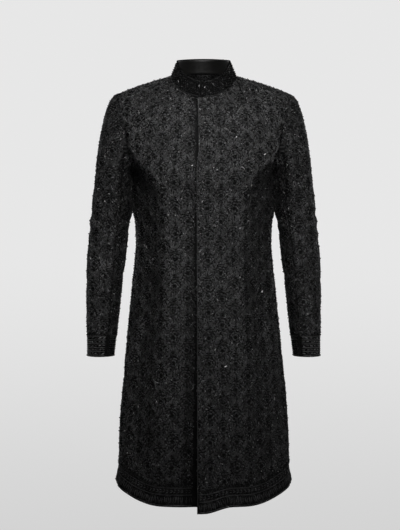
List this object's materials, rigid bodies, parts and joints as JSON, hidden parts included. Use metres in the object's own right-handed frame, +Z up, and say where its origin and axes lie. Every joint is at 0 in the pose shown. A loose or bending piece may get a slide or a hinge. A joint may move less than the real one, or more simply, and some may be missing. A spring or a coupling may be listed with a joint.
{
  "type": "sherwani coat",
  "caption": "Knee-length men's sherwani coat with a stand collar, a lapped hidden closure, long sleeves and side slits.",
  "frame": {"origin": "midway between the two points where the shoulder seams meet the collar, where the coat rests on its wearer", "axes": "+Z up, the front faces -Y, and the wearer's left side is +X"},
  "size_m": [0.597, 0.3031, 1.1434],
  "materials": {
    "shell_cloth": "black silk with tone-on-tone corded and beaded embroidery all over",
    "facing": "plain black silk satin"
  },
  "bodies": {
    "root": {"front_left": "shell_cloth", "front_right": "shell_cloth", "back": "shell_cloth", "sleeve_left_upper": "shell_cloth", "sleeve_left_under": "shell_cloth", "sleeve_right_upper": "shell_cloth", "sleeve_right_under": "shell_cloth", "collar": "shell_cloth", "collar_facing": "facing"}
  },
  "joints": []
}
